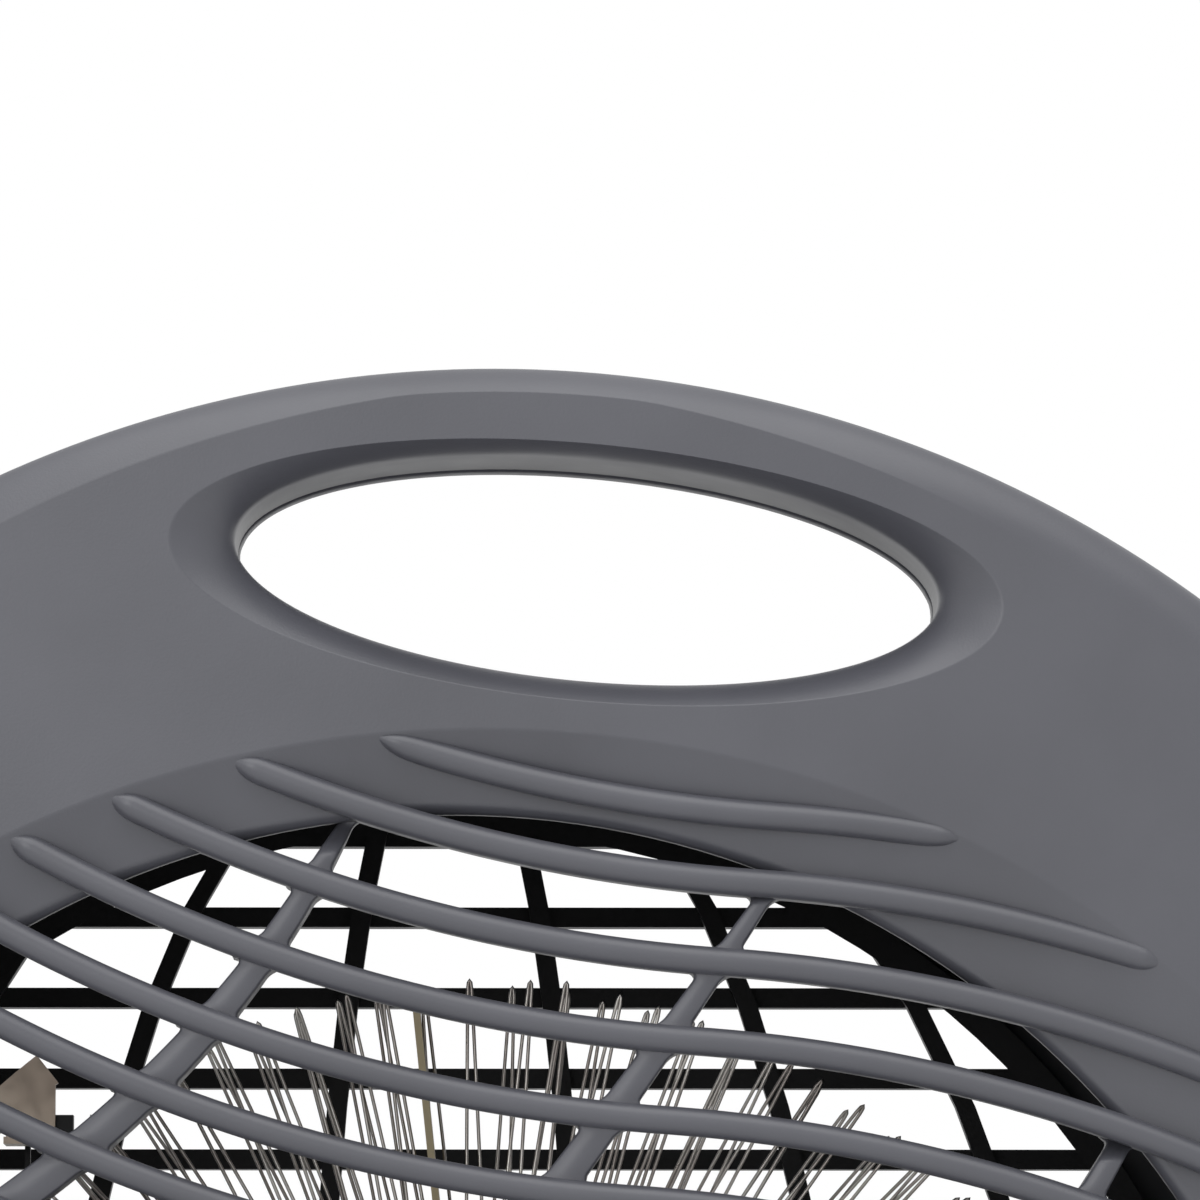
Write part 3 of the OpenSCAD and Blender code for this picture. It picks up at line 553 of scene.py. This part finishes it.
def sweep(path, section_at):
    """Verts and faces of a section carried along a path of (x, z) points."""
    verts, faces = [], []
    last = len(path) - 1
    for k, (x, z) in enumerate(path):
        ax, az = path[max(k - 1, 0)]
        bx, bz = path[min(k + 1, last)]
        length = math.hypot(bx - ax, bz - az)
        nx, nz = -(bz - az) / length, (bx - ax) / length
        section = section_at(k / last)
        size = len(section)
        verts.extend(place(x + nx * u, z + nz * u, d) for u, d in section)
        if k:
            start = (k - 1) * size
            for j in range(size):
                n = (j + 1) % size
                faces.append((start + j, start + n, start + size + n, start + size + j))
    faces.append(tuple(range(size)))
    faces.append(tuple(range(len(verts) - 1, len(verts) - 1 - size, -1)))
    return verts, faces


def bar_section(length, depth, taper):
    """Section of a bar: a rounded crown, straight flanks with a little draft, a flat back."""
    turns = [math.pi * (k / 12 - 0.5) for k in range(13)]

    def at(t):
        to_end = min(t, 1 - t) * length
        tip = min(1.0, to_end / taper)
        grow = math.sqrt(tip * (2 - tip)) * (0.62 + 0.38 * smooth(to_end / 15))
        crown = 0.5 - 1.0 * smooth(to_end / 12)
        half = BAR_T / 2 * max(0.12, grow)
        front = [(half * math.sin(a), crown + 2.0 * (1 - math.cos(a))) for a in turns]
        return front + [(half * 0.8, depth), (-half * 0.8, depth)]
    return at


def grille_bars():
    """All the bars as one moulding, each tapering out of the basin's crease."""
    verts, faces = [], []
    rows = [(i, 0.0, BAR_DEPTH, BAR_TIP) for i in range(BAR_COUNT)]
    for i, drop, depth, taper in [(-1, RIDGE_DROP, RIDGE_DEPTH, RIDGE_TIP)] + rows:
        reach = bar_reach(i, drop)
        if not reach:
            continue
        count = 110
        eased = [k / count - 0.12 * math.sin(2 * math.pi * k / count) for k in range(count + 1)]
        xs = [reach[0] + (reach[1] - reach[0]) * t for t in eased]
        path = [bar_point(i, x, drop) for x in xs]
        path = [p for p in path if p[1] > panel_edge(p[0]) + 0.5]
        if len(path) < 6:
            continue
        length = math.dist(path[0], path[-1])
        new_verts, new_faces = sweep(path, bar_section(length, depth, taper))
        faces += [tuple(len(verts) + k for k in face) for face in new_faces]
        verts += new_verts
    bars = mesh_piece("grille_bars", verts, faces, MATERIALS["body_plastic"], slot="body_plastic")
    clean_mesh(bars)
    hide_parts("front_shell")


# The cross ribs: how far back they start and end, how wide they are at the top and bottom, and the
# three points of the curve that each one follows
RIB_FRONT = 1.6
RIB_BACK = 9.5
RIB_WIDTH = (2.0, 12.5)
RIB_EDGE = 0.45
FILLET_R = 1.7
CROSS_RIBS = (((-14.5, 121), (-42, 64), (-122, 36)),
              ((45, 112), (0, 45), (-102, -76)),
              ((98, 85), (62, 22), (-30, -118)))


def fillet(x, z):
    """How much a rib's edge widens close to a bar, so that the two meet in a round corner."""
    gap = min(abs(z - bar_height(i, x)) for i in range(BAR_COUNT)) - BAR_T / 2 + 0.5
    near = max(0.0, min(1.0, 1 - gap / FILLET_R))
    return FILLET_R * (1 - math.sqrt(1 - near * near))


def cross_rib(top, middle, bottom):
    """A flat rib just under the bars' crowns, which widens as it sweeps down to the left."""
    steps = 420
    verts, faces = [], []
    rows = 0
    for k in range(steps + 1):
        t = k / steps
        x = (1 - t) ** 2 * top[0] + 2 * t * (1 - t) * middle[0] + t * t * bottom[0]
        z = (1 - t) ** 2 * top[1] + 2 * t * (1 - t) * middle[1] + t * t * bottom[1]
        to_opening = OPENING_R - math.hypot(x, z)
        if to_opening < -1.5 or OPENING_AT[1] + z < panel_edge(OPENING_AT[0] + x) + 0.5:
            continue
        half = (RIB_WIDTH[0] + (RIB_WIDTH[1] - RIB_WIDTH[0]) * t ** 0.8) / 2
        left = -half - fillet(x - half, z)
        right = half + fillet(x + half, z)
        front = RIB_FRONT + 5.0 * smooth(1 - to_opening / 5)
        section = [(left, front + RIB_EDGE), (left + RIB_EDGE, front), (right - RIB_EDGE, front),
            (right, front + RIB_EDGE), (right, RIB_BACK), (left, RIB_BACK)]
        verts.extend(place(OPENING_AT[0] + x + u, OPENING_AT[1] + z, d) for u, d in section)
        rows += 1
    for k in range(rows - 1):
        for j in range(6):
            n = (j + 1) % 6
            faces.append((k * 6 + j, k * 6 + n, k * 6 + 6 + n, k * 6 + 6 + j))
    faces.append(tuple(range(6)))
    faces.append(tuple(range(rows * 6 - 1, rows * 6 - 7, -1)))
    return verts, faces


def cross_ribs():
    """The three cross ribs as one moulding."""
    verts, faces = [], []
    for rib in CROSS_RIBS:
        new_verts, new_faces = cross_rib(*rib)
        faces += [tuple(len(verts) + k for k in face) for face in new_faces]
        verts += new_verts
    ribs = mesh_piece("grille_cross_ribs", verts, faces, MATERIALS["body_plastic"], slot="body_plastic")
    clean_mesh(ribs)
    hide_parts("front_shell")


# ---------- CAD shapes with softened edges ----------

def softened(name, node, voxel, keep, body="housing"):
    """A copy of a CAD node whose sharp edges are rounded over, as moulding leaves them."""
    source = frame["nodes"][node]
    slot = SLOT_OF[node]
    obj = bpy.data.objects.new(name, source.data.copy())
    bpy.context.scene.collection.objects.link(obj)
    remesh = obj.modifiers.new("voxels", "REMESH")
    remesh.mode = "VOXEL"
    remesh.voxel_size = voxel * MM
    remesh.use_smooth_shade = True
    rounding = obj.modifiers.new("rounding", "SMOOTH")
    rounding.factor = 0.5
    rounding.iterations = 4
    fewer = obj.modifiers.new("fewer", "DECIMATE")
    fewer.ratio = keep
    apply_modifiers(obj)
    obj.data.polygons.foreach_set("use_smooth", [True] * len(obj.data.polygons))
    obj.data.materials.clear()
    obj.data.materials.append(MATERIALS[slot])
    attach(obj, body)
    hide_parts(node)


# ---------- the knobs ----------

def knob(name, node, body):
    """A turned knob: a fluted skirt, a dished top and a finger bar with a pale pointer."""
    low, high = corners(node)
    cx, cz = (low[0] + high[0]) / 2, (low[2] + high[2]) / 2
    radius, front, back = (high[0] - low[0]) / 2, low[1], high[1]
    skirt = front + 8.0
    profile = [(6.0, back), (radius - 0.4, back), (radius, back - 0.5), (radius - 0.5, skirt + 1.6),
        (radius - 1.0, skirt + 0.6), (radius - 2.0, skirt), (radius - 3.2, skirt - 0.1),
        (radius - 5.0, skirt + 0.5), (0.4, skirt + 0.7)]
    turns = 144
    verts, faces = [], []
    for k in range(turns):
        a = 2 * math.pi * k / turns
        flute = 0.22 * (1 + math.cos(36 * a)) / 2
        for r, y in profile:
            cut = flute if r > radius - 1.2 else 0.0
            x, z = cx + (r - cut) * math.sin(a), cz + (r - cut) * math.cos(a)
            verts.append((x * MM, y * MM, z * MM))
    rows = len(profile)
    for k in range(turns):
        n = (k + 1) % turns
        for j in range(rows - 1):
            faces.append((k * rows + j, k * rows + j + 1, n * rows + j + 1, n * rows + j))
    faces.append(tuple(k * rows for k in range(turns)))
    faces.append(tuple(k * rows + rows - 1 for k in range(turns)))
    grip, grip_faces = finger_bar(cx, cz, radius - 0.8, front, skirt + 1.0)
    faces += [tuple(len(verts) + k for k in face) for face in grip_faces]
    verts += grip
    obj = mesh_piece(name, verts, faces, MATERIALS["knob_plastic"], slot="knob_plastic", body=body)
    clean_mesh(obj)
    obj.data.set_sharp_from_angle(angle=math.radians(50))
    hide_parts(node)

    line = pointer_line(cx, cz, radius, front)
    pointer = mesh_piece(name + "_pointer", *line, MATERIALS["white_plastic"], slot="white_plastic",
        body=body)


def rounded_outline(half_w, half_h, corner, steps=6):
    """Points of a rectangle with round corners, anticlockwise."""
    points = []
    for sx, sz, start in ((1, 1, 0), (-1, 1, 90), (-1, -1, 180), (1, -1, 270)):
        for k in range(steps + 1):
            a = math.radians(start + 90 * k / steps)
            points.append((sx * (half_w - corner) + corner * math.cos(a),
                sz * (half_h - corner) + corner * math.sin(a)))
    return points


def finger_bar(cx, cz, reach, front, back):
    """The raised bar across a knob, narrower and rounder towards its front."""
    layers = ((4.0, reach - 0.4, back), (3.7, reach - 0.8, front + 1.6), (3.4, reach - 1.2, front + 0.5),
        (2.8, reach - 1.9, front + 0.05), (2.0, reach - 2.8, front))
    verts, faces = [], []
    for half_w, half_h, y in layers:
        outline = rounded_outline(half_w, half_h, half_w * 0.9)
        verts.extend(((cx + u) * MM, y * MM, (cz + v) * MM) for u, v in outline)
    size = len(outline)
    for k in range(len(layers) - 1):
        for j in range(size):
            n = (j + 1) % size
            faces.append((k * size + j, k * size + n, (k + 1) * size + n, (k + 1) * size + j))
    faces.append(tuple(range(size)))
    faces.append(tuple(range(len(verts) - size, len(verts))))
    return verts, faces


def pointer_line(cx, cz, radius, front):
    """A thin raised line on the finger bar that points to the setting."""
    outline = rounded_outline(0.6, (radius - 7) / 2, 0.55)
    up = cz + radius / 2 + 1.2
    ends = (front + 0.03, front + 0.5)
    verts = [((cx + u) * MM, y * MM, (up + v) * MM) for y in ends for u, v in outline]
    size = len(outline)
    faces = [(j, (j + 1) % size, size + (j + 1) % size, size + j) for j in range(size)]
    faces += [tuple(range(size)), tuple(range(size, 2 * size))]
    return verts, faces


# ---------- the heating wire ----------

def tube(path, radius, sides=6):
    """Verts and faces of a round tube along a path of points in metres."""
    points = [Vector(p) for p in path]
    verts, faces = [], []
    across = Vector((0, 1, 0))
    for k, point in enumerate(points):
        ahead = points[min(k + 1, len(points) - 1)] - points[max(k - 1, 0)]
        side = ahead.cross(across).normalized()
        other = ahead.cross(side).normalized()
        for j in range(sides):
            a = 2 * math.pi * j / sides
            verts.append(point + radius * (math.cos(a) * side + math.sin(a) * other))
    for k in range(len(points) - 1):
        for j in range(sides):
            n = (j + 1) % sides
            faces.append((k * sides + j, k * sides + n, (k + 1) * sides + n, (k + 1) * sides + j))
    faces.append(tuple(range(sides)))
    faces.append(tuple(range(len(verts) - 1, len(verts) - 1 - sides, -1)))
    return [tuple(v) for v in verts], faces


# The wire's radius, the ring that its hairpins fill, and how many there are
WIRE_R = 0.25
WIRE_INNER = 44.0
WIRE_OUTER = 91.7
WIRE_PINS = 88


def hairpin_layer(name, node, shift, seed):
    """One layer of heating wire: narrow hairpins, a little uneven, that point out round the hub."""
    low, high = corners(node)
    depth = (low[1] + high[1]) / 2
    inner, outer, pins = WIRE_INNER, WIRE_OUTER, WIRE_PINS
    chance = random.Random(seed)
    pitch = 2 * math.pi / pins
    path = []
    for k in range(pins - 1):
        lean = chance.uniform(-0.9, 0.9)
        tip = outer - abs(chance.gauss(0, 0.7))
        sag = chance.uniform(-0.6, 0.6)
        middle = math.radians(shift) + pitch * (k + 0.5 + chance.uniform(-0.1, 0.1))
        open_at_hub = inner * pitch * chance.uniform(0.36, 0.44)

        def leg_point(r, side):
            out = (r - inner) / (tip - inner)
            across = side * (open_at_hub * (1 - out) ** 0.9 + 0.22) + lean * out
            a = middle + across / r
            return at_axis(r * math.sin(a), depth + sag * out, r * math.cos(a))

        radii = [inner + 0.5, 58, 72, 84, tip - 1.2]
        path += [leg_point(r, -1) for r in radii]
        path += [leg_point(tip - 0.35, -0.7), leg_point(tip, 0), leg_point(tip - 0.35, 0.7)]
        path += [leg_point(r, 1) for r in reversed(radii)]
    verts, faces = tube(path, WIRE_R * MM)
    wire = mesh_piece(name, verts, faces, MATERIALS["heating_wire"], slot="heating_wire")
    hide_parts(node)


# ---------- the studio ----------

def studio():
    """A pale floor, a white surround and soft light from above."""
    scene = bpy.context.scene
    world = bpy.data.worlds.new("surround")
    scene.world = world
    world.use_nodes = True
    world.node_tree.nodes["Background"].inputs["Color"].default_value = (1, 1, 1, 1)
    world.node_tree.nodes["Background"].inputs["Strength"].default_value = 1.0
    scene.view_settings.view_transform = "Standard"

    material, nodes, links, shader = new_material("floor")
    cloud = noise(nodes, links, object_coords(nodes), 3.0)
    links.new(ramp(nodes, links, cloud, (0.80, 0.80, 0.80), (0.84, 0.84, 0.84)),
        shader.inputs["Base Color"])
    links.new(span(nodes, links, cloud, 0.6, 0.75), shader.inputs["Roughness"])
    size = 3.0
    mesh = bpy.data.meshes.new("floor")
    mesh.from_pydata([(-size, -size, 0), (size, -size, 0), (size, size, 0), (-size, size, 0)], [],
        [(0, 1, 2, 3)])
    floor = bpy.data.objects.new("floor", mesh)
    mesh.materials.append(material)
    scene.collection.objects.link(floor)

    for name, place_at, size, power in (("overhead", (0.0, -0.45, 1.3), 1.1, 9.0),
                                        ("front_left", (-0.7, -1.7, 0.8), 1.0, 9.0)):
        light = bpy.data.lights.new(name, "AREA")
        light.size = size
        light.energy = power
        lamp = bpy.data.objects.new(name, light)
        lamp.location = place_at
        aim = Vector((0, 0, 0.2)) - Vector(place_at)
        lamp.rotation_euler = aim.to_track_quat("-Z", "Y").to_euler()
        scene.collection.objects.link(lamp)


def camera():
    """The photograph's view: close on the upper half, from just below the middle, looking up."""
    data = bpy.data.cameras.new("camera")
    data.lens = 261
    data.sensor_width = 36
    distance = 1.2
    eye = Vector((0.0035, FACE_Y * MM - distance, (BODY_Z - 6) * MM))
    target = Vector((0.0146, FACE_Y * MM, (BODY_Z + 132.8) * MM))
    obj = bpy.data.objects.new("camera", data)
    obj.location = eye
    obj.rotation_euler = (target - eye).to_track_quat("-Z", "Y").to_euler()
    bpy.context.scene.collection.objects.link(obj)
    bpy.context.scene.camera = obj


give_materials()
front_panel()
grille_bars()
cross_ribs()
hairpin_layer("element_wire_front", "heating_wire_front", -2.4, 4)
hairpin_layer("element_wire_rear", "heating_wire_rear", 1.2, 9)
softened("rear_housing", "rear_shell", 1.1, 0.35)
softened("base_moulding", "base_stand", 1.0, 0.3)
knob("thermostat_dial", "thermostat_knob", "thermostat_control")
knob("selector_dial", "selector_knob", "selector_control")
studio()
camera()
